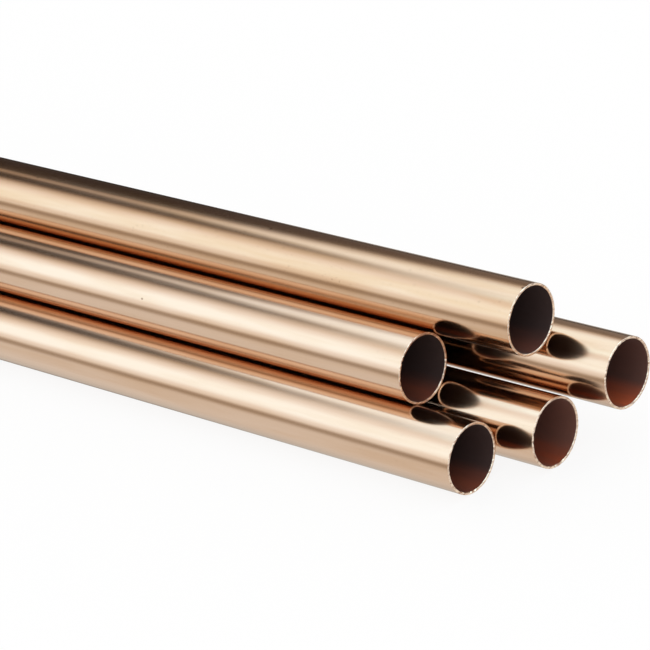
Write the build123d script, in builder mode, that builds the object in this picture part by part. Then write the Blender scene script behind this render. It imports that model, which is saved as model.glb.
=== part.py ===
# Stack of five straight copper tubes, hard drawn, square cut and open at both ends.
# The tubes lie along X in a pile: two on the floor, one in the groove between them, and two at the
# back that have rolled away from the front three as far as the pile lets them. They are all alike,
# and their mouths at the +X end stand back by different amounts.
# Units are millimetres, +Z is up, and the origin is on the floor under the middle of the stack.

import math
import os

from build123d import *

# One tube
outer_diameter = 28.0
wall = 1.0
length = 1000.0
outer_edge_radius = 0.2  # the saw's burr is filed off the outside edge
bore_chamfer = 0.3  # and reamed out of the bore

# The stack
contact_gap = 0.05  # between the drawn surfaces of tubes that touch
rear_clearance = 0.7  # of the rear tube of the middle row over the tube below it
lean_angle = 42.0  # from the middle row's front tube up to the top tube, above the horizontal

# How far each tube's +X mouth stands back from the foremost mouth
setbacks = {
    "lower_front_tube": 39.0,
    "lower_rear_tube": 21.0,
    "middle_front_tube": 69.0,
    "middle_rear_tube": 0.0,
    "top_tube": 29.5,
}

outer_radius = outer_diameter / 2
bore_radius = outer_radius - wall
pitch = outer_diameter + contact_gap  # between the axes of tubes that touch


def leaning(axis, angle):
    """The axis of a tube that touches the one at axis, at an angle above the horizontal."""
    across, height = axis
    turn = math.radians(angle)
    return across + pitch * math.cos(turn), height + pitch * math.sin(turn)


def behind(upper, to_upper, lower, to_lower):
    """The axis at one distance from the upper axis and another from the lower, on their +Y side."""
    across, rise = upper[0] - lower[0], upper[1] - lower[1]
    apart = math.hypot(across, rise)
    along = (apart**2 + to_lower**2 - to_upper**2) / (2 * apart)
    aside = math.sqrt(to_lower**2 - along**2)
    return (
        lower[0] + (across * along + rise * aside) / apart,
        lower[1] + (rise * along - across * aside) / apart,
    )


def middle(values):
    """Halfway between the least and the greatest."""
    return (min(values) + max(values)) / 2


# Each tube's axis across the stack and above the floor
lower_front = (0.0, outer_radius)
lower_rear = leaning(lower_front, 0.0)
middle_front = leaning(lower_front, 60.0)
top = leaning(middle_front, lean_angle)
middle_rear = behind(top, pitch, lower_rear, outer_diameter + rear_clearance)
axes = {
    "lower_front_tube": lower_front,
    "lower_rear_tube": lower_rear,
    "middle_front_tube": middle_front,
    "middle_rear_tube": middle_rear,
    "top_tube": top,
}

# The origin is halfway along the stack, from the foremost mouth to the rearmost far end,
# and halfway across it
mouth_of_foremost = length / 2 + middle(setbacks.values())
middle_across = middle([across for across, _ in axes.values()])


def cut_tube(axis_at_mouth):
    """A tube that runs from its mouth towards -X, with its cut edges broken at both ends."""
    mouth_plane = Plane(origin=axis_at_mouth, x_dir=(0, 1, 0), z_dir=(1, 0, 0))
    with BuildPart() as tube:
        with BuildSketch(mouth_plane):
            Circle(outer_radius)
            Circle(bore_radius, mode=Mode.SUBTRACT)
        extrude(amount=-length)
        rims = tube.faces().filter_by(Axis.X).edges().group_by(SortBy.RADIUS)
        chamfer(rims[0], bore_chamfer)
        fillet(rims[-1], outer_edge_radius)
    return tube.part


os.makedirs("parts", exist_ok=True)
for name, (across, height) in axes.items():
    mouth = (mouth_of_foremost - setbacks[name], across - middle_across, height)
    copper_tube = cut_tube(mouth)
    copper_tube.label = name
    export_step(copper_tube, f"parts/{name}.step")
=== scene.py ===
import math

import bpy
from mathutils import Matrix, Vector


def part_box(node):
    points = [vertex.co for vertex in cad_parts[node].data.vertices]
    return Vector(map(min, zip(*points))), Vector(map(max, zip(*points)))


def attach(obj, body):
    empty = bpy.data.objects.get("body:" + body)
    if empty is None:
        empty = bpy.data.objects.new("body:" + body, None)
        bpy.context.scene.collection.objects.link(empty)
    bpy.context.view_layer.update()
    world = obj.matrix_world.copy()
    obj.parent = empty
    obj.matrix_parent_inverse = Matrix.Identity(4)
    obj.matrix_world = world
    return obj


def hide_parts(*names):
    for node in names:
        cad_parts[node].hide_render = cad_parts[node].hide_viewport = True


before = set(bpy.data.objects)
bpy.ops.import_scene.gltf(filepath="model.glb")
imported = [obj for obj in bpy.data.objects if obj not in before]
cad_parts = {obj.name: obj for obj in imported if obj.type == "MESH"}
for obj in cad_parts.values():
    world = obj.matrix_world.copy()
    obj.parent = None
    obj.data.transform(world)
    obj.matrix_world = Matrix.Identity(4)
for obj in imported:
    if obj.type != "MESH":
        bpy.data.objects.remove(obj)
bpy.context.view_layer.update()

mm = 0.001  # in metres, the scene's unit


def linear(hexColour):
    # an sRGB hex value as the linear colour that the nodes work in
    parts = [int(hexColour[i:i + 2], 16) / 255 for i in (1, 3, 5)]
    curve = [p / 12.92 if p <= 0.04045 else ((p + 0.055) / 1.055) ** 2.4 for p in parts]
    return (*curve, 1.0)


def addNode(tree, kind, inputs=(), **settings):
    # an input is given by number or name, and takes a value, a socket, or a node's first live output
    node = tree.nodes.new(kind)
    for name, value in settings.items():
        setattr(node, name, value)
    for key, value in inputs.items() if isinstance(inputs, dict) else enumerate(inputs):
        named = [socket for socket in node.inputs if socket.enabled and socket.name == key]
        socket = named[0] if named else node.inputs[key]
        if isinstance(value, bpy.types.Node):
            value = next(output for output in value.outputs if output.enabled)
        if isinstance(value, bpy.types.NodeSocket):
            tree.links.new(value, socket)
        else:
            socket.default_value = value
    return node


def newMaterial(name):
    material = bpy.data.materials.new(name)
    material.use_nodes = True
    material.node_tree.nodes.clear()
    return material, material.node_tree


def patternPlace(tree, along, around):
    # the place on the tube, from its own axis, in steps of a pattern's size in mm
    place = addNode(tree, "ShaderNodeAttribute", attribute_name="tubePlace").outputs["Vector"]
    steps = (1 / (along * mm), 1 / (around * mm), 1 / (around * mm))
    return addNode(tree, "ShaderNodeVectorMath", [place, steps], operation="MULTIPLY")


# hard-drawn copper, bright from the die: a warm soft mirror, streaked along the draw, that has
# dulled a little in patches and picked up a few specks and handling marks; each tube's own darker
# share of the dulled colour is painted shade, strongest on the top tube
copper = {
    "colour": "#D8B194",
    # the darker copper of the real dulled patches, and of the painted shade on a whole tube
    "dulledAndShaded": "#CA9A72",
    "mark": "#7E5A42",
    "roughness": 0.15,
    "roughnessSwing": 0.06,  # between the streaks
    "streak": (180.0, 1.1),  # mm along and around; the real lines are finer than a pixel
    "streakDepth": 0.004,  # mm
    "waver": (22.0, 6.0),  # mm; the wall isn't quite round or straight, so reflections waver
    "waverDepth": 0.03,  # mm
    "patch": (60.0, 5.0),  # mm along and around
    "patchEdge": (0.4, 0.7),  # the noise at which a dulled patch starts, and at which it is full
    "patchDulling": 0.4,  # what a full patch adds to the tube's own dulling and painted shade
    "speckSpacing": (16.0, 12.0),  # mm
    "speckSize": 0.06,  # share of the spacing
    "speckLack": 0.5,  # share of the places that have no speck
    "handlingMark": (0.5, 1.5),  # mm, small grains that show only where the copper is dulled or darkened as painted shade
    "handlingEdge": (0.68, 0.78),  # high, so that few grains show
}


def makeDrawnCopper():
    material, tree = newMaterial("brightDrawnCopper")
    streaks = addNode(tree, "ShaderNodeTexNoise",
                      {"Vector": patternPlace(tree, *copper["streak"]), "Scale": 1.0,
                       "Detail": 3.0, "Roughness": 0.6})
    patches = addNode(tree, "ShaderNodeTexNoise",
                      {"Vector": patternPlace(tree, *copper["patch"]), "Scale": 1.0, "Detail": 3.0})
    patchStart, patchFull = copper["patchEdge"]
    spread = addNode(tree, "ShaderNodeMapRange",
                     {"Value": patches, "From Min": patchStart, "From Max": patchFull,
                      "To Max": copper["patchDulling"]})
    # each tube's share of the dulled colour: real dulling, and on the top tube mostly painted shade
    # for the lesser light on it
    state = addNode(tree, "ShaderNodeAttribute", attribute_name="dulledAndShaded").outputs["Fac"]
    dullingAndShade = addNode(tree, "ShaderNodeMath", [spread, state], operation="ADD", use_clamp=True)
    cells = addNode(tree, "ShaderNodeTexVoronoi",
                    {"Vector": patternPlace(tree, *copper["speckSpacing"]), "Scale": 1.0})
    specks = addNode(tree, "ShaderNodeMapRange",
                     {"Value": cells.outputs["Distance"], "From Min": copper["speckSize"],
                      "From Max": copper["speckSize"] / 2}, interpolation_type="SMOOTHSTEP")
    kept = addNode(tree, "ShaderNodeMath", [cells.outputs["Color"], copper["speckLack"]],
                   operation="GREATER_THAN")
    grains = addNode(tree, "ShaderNodeTexNoise",
                     {"Vector": patternPlace(tree, *copper["handlingMark"]), "Scale": 1.0})
    grainStart, grainFull = copper["handlingEdge"]
    scuffs = addNode(tree, "ShaderNodeMapRange",
                     {"Value": grains, "From Min": grainStart, "From Max": grainFull})
    handled = addNode(tree, "ShaderNodeMath", [scuffs, dullingAndShade], operation="MULTIPLY")
    marked = addNode(tree, "ShaderNodeMath", [specks, kept, handled], operation="MULTIPLY_ADD",
                     use_clamp=True)
    metal = addNode(tree, "ShaderNodeMix",
                    {"Factor": dullingAndShade, "A": linear(copper["colour"]),
                     "B": linear(copper["dulledAndShaded"])}, data_type="RGBA")
    colour = addNode(tree, "ShaderNodeMix",
                     {"Factor": marked, "A": metal, "B": linear(copper["mark"])}, data_type="RGBA")
    roughness = addNode(tree, "ShaderNodeMath",
                        [streaks, copper["roughnessSwing"],
                         copper["roughness"] - copper["roughnessSwing"] / 2],
                        operation="MULTIPLY_ADD")
    waver = addNode(tree, "ShaderNodeTexNoise",
                    {"Vector": patternPlace(tree, *copper["waver"]), "Scale": 1.0, "Detail": 1.0})
    wavy = addNode(tree, "ShaderNodeBump", {"Height": waver, "Strength": 1.0,
                                            "Distance": copper["waverDepth"] * mm})
    bump = addNode(tree, "ShaderNodeBump", {"Height": streaks, "Strength": 1.0, "Normal": wavy,
                                            "Distance": copper["streakDepth"] * mm})
    shader = addNode(tree, "ShaderNodeBsdfPrincipled",
                     {"Base Color": colour, "Roughness": roughness, "Metallic": 1.0, "Normal": bump})
    addNode(tree, "ShaderNodeOutputMaterial", {"Surface": shader})
    return material


# copper fresh from a fine saw and filed: pale and pinkish, dull, with straight tooth lines
rim = {
    "colour": "#F8D7BA",
    "lineColour": "#BB8F77",
    "roughness": 0.42,
    "toothLine": (3.0, 0.5),  # mm along and apart; the real lines are finer than a pixel
    "lineEdge": (0.4, 0.66),  # the noise at which a line starts to darken, and at which it is full
    "lineDepth": 0.02,  # mm
}


def makeSawnRim():
    material, tree = newMaterial("freshSawnCopper")
    place = addNode(tree, "ShaderNodeAttribute", attribute_name="tubePlace").outputs["Vector"]
    along, apart = rim["toothLine"]
    steps = (1.0, 1 / (along * mm), 1 / (apart * mm))
    drawn = addNode(tree, "ShaderNodeVectorMath", [place, steps], operation="MULTIPLY")
    lines = addNode(tree, "ShaderNodeTexNoise", {"Vector": drawn, "Scale": 1.0, "Detail": 2.0})
    lineStart, lineFull = rim["lineEdge"]
    shade = addNode(tree, "ShaderNodeMapRange",
                    {"Value": lines, "From Min": lineStart, "From Max": lineFull})
    colour = addNode(tree, "ShaderNodeMix",
                     {"Factor": shade, "A": linear(rim["colour"]),
                      "B": linear(rim["lineColour"])}, data_type="RGBA")
    bump = addNode(tree, "ShaderNodeBump", {"Height": lines, "Strength": 1.0,
                                            "Distance": rim["lineDepth"] * mm})
    shader = addNode(tree, "ShaderNodeBsdfPrincipled",
                     {"Base Color": colour, "Roughness": rim["roughness"], "Metallic": 1.0,
                      "Normal": bump})
    addNode(tree, "ShaderNodeOutputMaterial", {"Surface": shader})
    return material


# the bore is dark brown, nearly black, on its upper wall as painted shade, and lighter and
# red-brown along the bottom as painted light
bore = {
    "colour": "#503F3C",
    "paleTop": "#8B5F52",  # where the upper wall's painted shade is lighter
    # the painted light on the bore's lower wall, from plain brown to red-brown
    "litBottom": "#6A4A42",
    "litBottomRed": "#D46841",
    "litBottomEdge": (-7.0, -11.6),  # mm, heights from the axis between which the painted light along the bottom comes in
    "litBottomFade": 2.0,  # the power by which the painted light keeps to the bottom
    "metallic": 0.3,
    "roughness": 0.45,
    "edgeNoise": (40.0, 5.0),  # mm along and around
    "edgeWander": 3.0,  # mm, how far the edge of the painted light wanders
}


def makeShadedBore():
    material, tree = newMaterial("litAndShadedBore")
    edgeNoise = addNode(tree, "ShaderNodeTexNoise",
                   {"Vector": patternPlace(tree, *bore["edgeNoise"]), "Scale": 1.0, "Detail": 3.0})
    place = addNode(tree, "ShaderNodeAttribute", attribute_name="tubePlace").outputs["Vector"]
    height = addNode(tree, "ShaderNodeSeparateXYZ", [place]).outputs["Z"]
    wander = addNode(tree, "ShaderNodeMath", [edgeNoise, bore["edgeWander"] * mm, height],
                     operation="MULTIPLY_ADD")
    # lower in the bore the colour turns to painted light, higher up it stays painted shade
    start, end = bore["litBottomEdge"]
    lowness = addNode(tree, "ShaderNodeMapRange",
                     {"Value": wander, "From Min": start * mm, "From Max": end * mm})
    litBottom = addNode(tree, "ShaderNodeMath", [lowness, bore["litBottomFade"]], operation="POWER")
    paleTop = addNode(tree, "ShaderNodeAttribute", attribute_name="paleTopShare").outputs["Fac"]
    litRedness = addNode(tree, "ShaderNodeAttribute", attribute_name="litBottomRed").outputs["Fac"]
    above = addNode(tree, "ShaderNodeMix", {"Factor": paleTop, "A": linear(bore["colour"]),
                                            "B": linear(bore["paleTop"])}, data_type="RGBA")
    below = addNode(tree, "ShaderNodeMix", {"Factor": litRedness, "A": linear(bore["litBottom"]),
                                            "B": linear(bore["litBottomRed"])}, data_type="RGBA")
    colour = addNode(tree, "ShaderNodeMix", {"Factor": litBottom, "A": above, "B": below},
                     data_type="RGBA")
    shader = addNode(tree, "ShaderNodeBsdfPrincipled",
                     {"Base Color": colour, "Roughness": bore["roughness"],
                      "Metallic": bore["metallic"]})
    addNode(tree, "ShaderNodeOutputMaterial", {"Surface": shader})
    return material


drawnCopper = makeDrawnCopper()
sawnRim = makeSawnRim()
shadedBore = makeShadedBore()
print("materials made")


tube = {
    "wall": 1.0,  # mm, as are the edges
    "edgeRadius": 0.2,
    "boreEdge": 0.3,
    "edgeSteps": 3,  # round each broken edge
    "segments": 256,
    "nickDepth": 0.55,  # mm, in the bore's edge
    "outerNick": 0.7,  # share of that depth in the outer edge
    "nickSpacing": 1.2,  # mm
    "nickEdge": (0.56, 0.64),  # the noise at which a nick starts, and at which it is full
    "nickReach": 0.9,  # back from the cut, as a share of the edge radius
    "markJump": 3.7,  # m along X, from one tube to the next, in the pattern of marks
}


def makeTubeTree():
    # the wall's section, with its broken edges, run round a circle and laid along X
    tree = bpy.data.node_groups.new("drawnTube", "GeometryNodeTree")
    sockets = {}
    for kind, names in (
        ("NodeSocketFloat", ("Outer diameter", "Wall", "Length", "Edge radius", "Bore edge",
                             "Nick depth", "Nick spacing", "Dulled and shaded", "Pale top", "Lit bottom red")),
        ("NodeSocketInt", ("Segments", "Seed")),
        ("NodeSocketVector", ("Middle",)),
    ):
        for name in names:
            socket = tree.interface.new_socket(name, in_out="INPUT", socket_type=kind)
            sockets[name] = socket.identifier
    tree.interface.new_socket("Geometry", in_out="OUTPUT", socket_type="NodeSocketGeometry")
    given = addNode(tree, "NodeGroupInput").outputs

    outer = addNode(tree, "ShaderNodeMath", [given["Outer diameter"], 2.0], operation="DIVIDE")
    midWall = addNode(tree, "ShaderNodeMath", [given["Wall"], -0.5, outer], operation="MULTIPLY_ADD")
    half = addNode(tree, "ShaderNodeMath", [given["Length"], 2.0], operation="DIVIDE")
    circle = addNode(tree, "GeometryNodeCurvePrimitiveCircle",
                     {"Resolution": given["Segments"], "Radius": midWall})
    section = addNode(tree, "GeometryNodeCurvePrimitiveQuadrilateral",
                      {"Width": given["Wall"], "Height": given["Length"]})
    corner = addNode(tree, "ShaderNodeSeparateXYZ", [addNode(tree, "GeometryNodeInputPosition")])
    outside = addNode(tree, "ShaderNodeMath", [corner.outputs["X"], 0.0], operation="GREATER_THAN")
    radius = addNode(tree, "GeometryNodeSwitch", {"Switch": outside, "False": given["Bore edge"],
                                                  "True": given["Edge radius"]}, input_type="FLOAT")
    rounded = addNode(tree, "GeometryNodeFilletCurve",
                      {"Curve": section, "Count": tube["edgeSteps"], "Radius": radius,
                       "Limit Radius": True}, mode="POLY")
    swept = addNode(tree, "GeometryNodeCurveToMesh", {"Curve": circle, "Profile Curve": rounded})
    laid = addNode(tree, "GeometryNodeTransform",
                   {"Geometry": swept, "Rotation": (0.0, math.pi / 2, 0.0)})

    # the place from the tube's own axis is stored for the materials, with a jump along X for
    # each seed, so that no two tubes have the same marks
    jump = addNode(tree, "ShaderNodeMath", [given["Seed"], tube["markJump"]], operation="MULTIPLY")
    shift = addNode(tree, "ShaderNodeCombineXYZ", [jump])
    position = addNode(tree, "GeometryNodeInputPosition")
    marked = addNode(tree, "ShaderNodeVectorMath", [position, shift], operation="ADD")
    stored = addNode(tree, "GeometryNodeStoreNamedAttribute",
                     {"Geometry": laid, "Name": "tubePlace", "Value": marked},
                     data_type="FLOAT_VECTOR", domain="POINT")

    for name, value in (("dulledAndShaded", given["Dulled and shaded"]), ("paleTopShare", given["Pale top"]),
                        ("litBottomRed", given["Lit bottom red"])):
        stored = addNode(tree, "GeometryNodeStoreNamedAttribute",
                         {"Geometry": stored, "Name": name, "Value": value},
                         data_type="FLOAT", domain="POINT")

    # how far out from the axis a point lies, and how far along
    place = addNode(tree, "GeometryNodeInputNamedAttribute", {"Name": "tubePlace"},
                    data_type="FLOAT_VECTOR")
    fromAxis = addNode(tree, "ShaderNodeVectorMath", [place, shift], operation="SUBTRACT")
    parts = addNode(tree, "ShaderNodeSeparateXYZ", [fromAxis]).outputs
    outwards = addNode(tree, "ShaderNodeCombineXYZ", {"Y": parts["Y"], "Z": parts["Z"]})
    distance = addNode(tree, "ShaderNodeVectorMath", [outwards], operation="LENGTH")
    reach = addNode(tree, "ShaderNodeMath", [parts["X"]], operation="ABSOLUTE")
    isOuter = addNode(tree, "ShaderNodeMath", [distance, midWall], operation="GREATER_THAN")
    edge = addNode(tree, "GeometryNodeSwitch", {"Switch": isOuter, "False": given["Bore edge"],
                                                "True": given["Edge radius"]}, input_type="FLOAT")
    edgeStart = addNode(tree, "ShaderNodeMath", [half, edge], operation="SUBTRACT")

    # nicks: here and there the saw and the file bit into both edges of the cut, which pushes the
    # bore's edge out from the axis and the outer edge in
    density = addNode(tree, "ShaderNodeMath", [1.0, given["Nick spacing"]], operation="DIVIDE")
    bites = addNode(tree, "ShaderNodeTexNoise", {"Vector": place, "Scale": density, "Detail": 2.0})
    nickStart, nickFull = tube["nickEdge"]
    bite = addNode(tree, "ShaderNodeMapRange",
                   {"Value": bites, "From Min": nickStart, "From Max": nickFull,
                    "To Max": given["Nick depth"]})
    side = addNode(tree, "ShaderNodeMath", [isOuter, -(1.0 + tube["outerNick"]), 1.0],
                   operation="MULTIPLY_ADD")
    push = addNode(tree, "ShaderNodeMath", [bite, side], operation="MULTIPLY")
    ray = addNode(tree, "ShaderNodeVectorMath", [outwards], operation="NORMALIZE")
    offset = addNode(tree, "ShaderNodeVectorMath", {0: ray, "Scale": push}, operation="SCALE")
    nickStop = addNode(tree, "ShaderNodeMath", [given["Edge radius"], -tube["nickReach"], half],
                       operation="MULTIPLY_ADD")
    atCut = addNode(tree, "ShaderNodeMath", [reach, nickStop], operation="GREATER_THAN")
    nicked = addNode(tree, "GeometryNodeSetPosition",
                     {"Geometry": stored, "Selection": atCut, "Offset": offset})

    # the long walls keep their own normals right up to the edges of the cut
    smooth = addNode(tree, "GeometryNodeSetShadeSmooth", {"Geometry": nicked}, domain="FACE")
    atRing = addNode(tree, "ShaderNodeMath", [reach, edgeStart, 0.01 * mm], operation="COMPARE")
    creased = addNode(tree, "GeometryNodeSetShadeSmooth",
                      {"Geometry": smooth, "Selection": atRing, "Shade Smooth": False},
                      domain="EDGE")
    moved = addNode(tree, "GeometryNodeTransform",
                    {"Geometry": creased, "Translation": given["Middle"]})

    real = addNode(tree, "GeometryNodeRealizeInstances", {"Geometry": moved})
    drawn = addNode(tree, "GeometryNodeSetMaterial", {"Geometry": real, "Material": drawnCopper})
    inBore = addNode(tree, "ShaderNodeMath", [distance, midWall], operation="LESS_THAN")
    filmed = addNode(tree, "GeometryNodeSetMaterial",
                     {"Geometry": drawn, "Selection": inBore, "Material": shadedBore})
    onRim = addNode(tree, "ShaderNodeMath", [reach, edgeStart], operation="GREATER_THAN")
    cut = addNode(tree, "GeometryNodeSetMaterial",
                  {"Geometry": filmed, "Selection": onRim, "Material": sawnRim})
    addNode(tree, "NodeGroupOutput", [cut])
    return tree, sockets


tubeTree, tubeSockets = makeTubeTree()

# each tube, how far its copper is dulled or darkened as painted shade, how much lighter the
# painted shade on the upper wall of its bore is, and how red the painted light along the bottom
# of its bore is
tubeStates = {
    "lower_front_tube": dict(dulledAndShaded=0.0, paleTop=0.05, litRedness=0.38),
    "lower_rear_tube": dict(dulledAndShaded=0.05, paleTop=0.95, litRedness=0.63),
    "middle_front_tube": dict(dulledAndShaded=0.0, paleTop=0.0, litRedness=0.29),
    "middle_rear_tube": dict(dulledAndShaded=0.15, paleTop=0.5, litRedness=1.0),
    # the top tube's copper is darkened as painted shade, for the lesser light on it
    "top_tube": dict(dulledAndShaded=0.44, paleTop=0.0, litRedness=0.13),
}


def makeTube(nodeName, state, seed):
    low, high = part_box(nodeName)
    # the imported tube's facets fall a little short of round, and the copper stays within them
    across = min(high[1] - low[1], high[2] - low[2])
    source = bpy.data.objects.new(nodeName + "Source", bpy.data.meshes.new(nodeName + "Source"))
    bpy.context.scene.collection.objects.link(source)
    modifier = source.modifiers.new("drawnTube", "NODES")
    modifier.node_group = tubeTree
    values = {
        "Outer diameter": across,
        "Wall": tube["wall"] * mm,
        "Length": high[0] - low[0],
        "Edge radius": tube["edgeRadius"] * mm,
        "Bore edge": tube["boreEdge"] * mm,
        "Segments": tube["segments"],
        "Nick depth": tube["nickDepth"] * mm,
        "Nick spacing": tube["nickSpacing"] * mm,
        "Middle": [(low[i] + high[i]) / 2 for i in range(3)],
        "Dulled and shaded": state["dulledAndShaded"],
        "Pale top": state["paleTop"],
        "Lit bottom red": state["litRedness"],
        "Seed": seed,
    }
    for name, value in values.items():
        modifier[tubeSockets[name]] = value
    source.update_tag()
    graph = bpy.context.evaluated_depsgraph_get()
    mesh = bpy.data.meshes.new_from_object(source.evaluated_get(graph),
                                           preserve_all_data_layers=True, depsgraph=graph)
    mesh.name = nodeName + "Copper"
    piece = bpy.data.objects.new(nodeName + "Copper", mesh)
    bpy.context.scene.collection.objects.link(piece)
    bpy.data.objects.remove(source)
    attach(piece, "root")
    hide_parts(nodeName)
    return piece


tubes = [makeTube(name, state, seed)
         for seed, (name, state) in enumerate(tubeStates.items(), start=1)]
print("tubes made, faces:", [len(piece.data.polygons) for piece in tubes])


floorFinish = {
    "side": 12.0,  # m
    "colour": "#FFFFFF",
    "evenness": 0.88,  # how far the camera sees plain white in place of the shadow
}


def makeFloor():
    # matte white paper, lit so evenly that only a faint shadow is left under the tubes
    bpy.ops.mesh.primitive_plane_add(size=floorFinish["side"])
    floor = bpy.context.object
    floor.name = "studioFloor"
    material, tree = newMaterial("matteWhitePaper")
    paper = addNode(tree, "ShaderNodeBsdfDiffuse", {"Color": linear(floorFinish["colour"])})
    white = addNode(tree, "ShaderNodeEmission", {"Color": linear(floorFinish["colour"])})
    toCamera = addNode(tree, "ShaderNodeLightPath").outputs["Is Camera Ray"]
    share = addNode(tree, "ShaderNodeMath", [toCamera, floorFinish["evenness"]],
                    operation="MULTIPLY")
    seen = addNode(tree, "ShaderNodeMixShader", [share, paper, white])
    addNode(tree, "ShaderNodeOutputMaterial", {"Surface": seen})
    floor.data.materials.append(material)
    floor.visible_glossy = False  # the copper mirrors the studio's own white lower half instead


makeFloor()
print("floor made")


# The studio's lights run along the tubes. Angles are round X, in degrees: from the rear floor
# line at 0, over the top, to the front floor line at 180, and on through the white floor.
# Soft edges are that many degrees wide. A light with a start is only there from that far
# towards +X, as the X of a direction, with an ease to either side. A slant is how many degrees
# an edge moves for each unit of X past the overhead box's corner.
studio = {
    "room": dict(low=-90, high=450, softLow=1, softHigh=1, level=0.045),
    "rearHaze": dict(low=-8, high=72, softLow=10, softHigh=24, level=0.24, start=-0.62, ease=0.07),
    "overheadBox": dict(low=71, high=69, softLow=30, softHigh=20, level=1.86,
                        lowSlant=-299, highSlant=403),
    "overheadRim": dict(low=80, high=108, softLow=12, softHigh=12, level=0.1, start=-0.66,
                        ease=0.05),
    "softbox": dict(low=103, high=178, softLow=30, softHigh=13, level=1.38),
    "softboxCore": dict(low=124, high=163, softLow=26, softHigh=16, level=0.62),
    "horizonGap": dict(low=177, high=194, softLow=13, softHigh=14, level=0.42),
    "floorNear": dict(low=194, high=265, softLow=14, softHigh=50, level=0.3),
    "floorFar": dict(low=194, high=302, softLow=14, softHigh=54, level=0.7),
    "rearEdge": dict(low=302, high=348, softLow=54, softHigh=16, level=0.42, start=-0.655,
                     ease=0.03),
    "rearFloor": dict(low=302, high=350, softLow=54, softHigh=14, level=0.7, start=-0.3, ease=0.2),
    "rearBox": dict(low=15, high=66, softLow=20, softHigh=20, level=1.2, start=-0.3, ease=0.2),
}
overhead = {
    "corner": -0.685,  # the overhead box is seen corner on, this far along X
    "reach": 0.10,  # and it widens over this much of X
}
# bright lamps are a little cooler than the white floor and the dim room is warmer;
# each pair is a level, as a share of the brightest, and what red or blue makes of it
lampTint = {
    "brightest": 2.2,
    "red": [(0.0, 0.0), (0.065, 0.072), (0.2, 0.205), (0.45, 0.403), (0.62, 0.52), (0.75, 0.595),
            (1.0, 0.7)],
    "blue": [(0.0, 0.0), (0.065, 0.06), (0.2, 0.182), (0.45, 0.472), (0.62, 0.695), (0.75, 0.885),
             (1.0, 1.25)],
}


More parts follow.
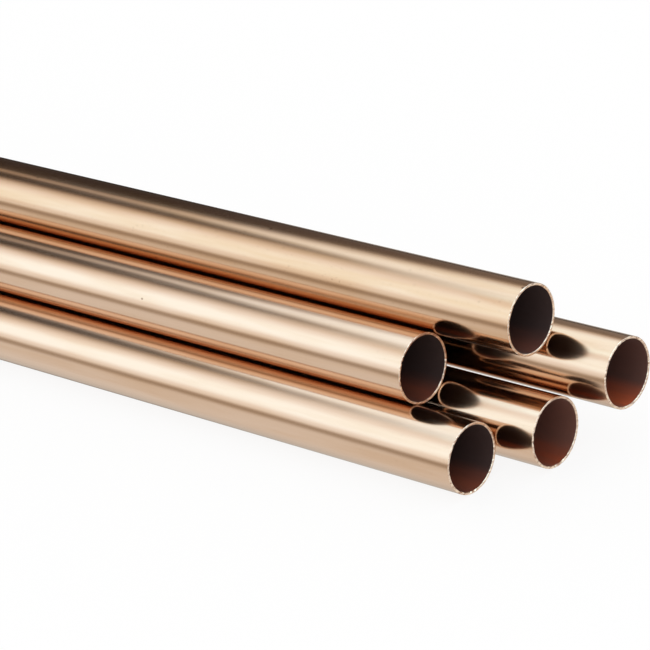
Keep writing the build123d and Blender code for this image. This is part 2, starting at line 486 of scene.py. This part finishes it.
def makeStudio():
    world = bpy.data.worlds.new("studio")
    bpy.context.scene.world = world
    world.use_nodes = True
    tree = world.node_tree
    tree.nodes.clear()
    heading = addNode(tree, "ShaderNodeTexCoord").outputs["Generated"]
    parts = addNode(tree, "ShaderNodeSeparateXYZ", [heading]).outputs
    turn = addNode(tree, "ShaderNodeMath", [parts["Z"], parts["Y"]], operation="ARCTAN2")
    degrees = addNode(tree, "ShaderNodeMath", [turn], operation="DEGREES")
    angle = addNode(tree, "ShaderNodeMath", [degrees, 360.0], operation="FLOORED_MODULO")
    along = addNode(tree, "ShaderNodeMapRange",
                    {"Value": parts["X"], "From Min": overhead["corner"],
                     "From Max": overhead["corner"] + overhead["reach"],
                     "To Max": overhead["reach"]})
    total = 0.0
    for light in studio.values():
        edges = []
        for side, rising in (("low", 1), ("high", -1)):
            slant = light.get(side + "Slant", 0.0)
            ease = rising * light["soft" + side.capitalize()] / 2
            at = addNode(tree, "ShaderNodeMath", [along, slant, light[side]],
                         operation="MULTIPLY_ADD")
            past = addNode(tree, "ShaderNodeMath", [angle, at], operation="SUBTRACT")
            edges.append(addNode(tree, "ShaderNodeMapRange",
                                 {"Value": past, "From Min": -ease, "From Max": ease},
                                 interpolation_type="SMOOTHSTEP"))
        band = addNode(tree, "ShaderNodeMath", edges, operation="MULTIPLY")
        if "start" in light:
            begun = addNode(tree, "ShaderNodeMapRange",
                            {"Value": parts["X"], "From Min": light["start"] - light["ease"],
                             "From Max": light["start"] + light["ease"]},
                            interpolation_type="SMOOTHSTEP")
            band = addNode(tree, "ShaderNodeMath", [band, begun], operation="MULTIPLY")
        total = addNode(tree, "ShaderNodeMath", [band, light["level"], total],
                        operation="MULTIPLY_ADD")
    share = addNode(tree, "ShaderNodeMath", [total, lampTint["brightest"]], operation="DIVIDE")
    grey = addNode(tree, "ShaderNodeCombineColor", [share, share, share])
    tinted = addNode(tree, "ShaderNodeRGBCurve", {"Color": grey})
    tinted.mapping.use_clip = False
    for channel, points in ((0, lampTint["red"]), (2, lampTint["blue"])):
        curve = tinted.mapping.curves[channel].points
        curve[0].location = points[0]
        curve[1].location = points[-1]
        for point in points[1:-1]:
            curve.new(*point)
    tinted.mapping.update()
    lamps = addNode(tree, "ShaderNodeBackground",
                    {"Color": tinted, "Strength": lampTint["brightest"]})
    # straight to the camera and onto anything matt, the room is plain white
    white = addNode(tree, "ShaderNodeBackground", {"Color": linear("#FFFFFF"), "Strength": 1.0})
    toGloss = addNode(tree, "ShaderNodeLightPath").outputs["Is Glossy Ray"]
    seen = addNode(tree, "ShaderNodeMixShader", [toGloss, white, lamps])
    addNode(tree, "ShaderNodeOutputWorld", {"Surface": seen})


makeStudio()
print("studio made")


view = {
    "heading": 46.45,  # degrees round the stack from its front
    "height": 27.85,  # degrees above the floor
    "roll": -11.70,  # degrees; the camera was held askew
    "fromMouth": (718.48, -742.92, 613.10),  # mm, from the lower front tube's mouth
    "lens": 178.8,  # mm, on a sensor of the width below
    "sensor": 36.0,
    "clip": (0.05, 50.0),  # m
}


def makeCamera():
    heading, height, roll = (math.radians(view[key]) for key in ("heading", "height", "roll"))
    back = Vector((math.sin(heading) * math.cos(height),
                   -math.cos(heading) * math.cos(height), math.sin(height)))
    level = Vector((math.cos(heading), math.sin(heading), 0.0))
    upright = back.cross(level)
    right = level * math.cos(roll) + upright * math.sin(roll)
    up = upright * math.cos(roll) - level * math.sin(roll)
    data = bpy.data.cameras.new("productCamera")
    data.lens = view["lens"]
    data.sensor_width = view["sensor"]
    data.clip_start, data.clip_end = view["clip"]
    camera = bpy.data.objects.new("productCamera", data)
    bpy.context.scene.collection.objects.link(camera)
    turned = Matrix((right, up, back)).transposed().to_4x4()
    low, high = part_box("lower_front_tube")
    mouth = Vector((high[0], (low[1] + high[1]) / 2, (low[2] + high[2]) / 2))
    turned.translation = mouth + Vector(view["fromMouth"]) * mm
    camera.matrix_world = turned
    return camera


bpy.context.scene.camera = makeCamera()
bpy.context.scene.view_settings.view_transform = "Standard"
print("camera made")
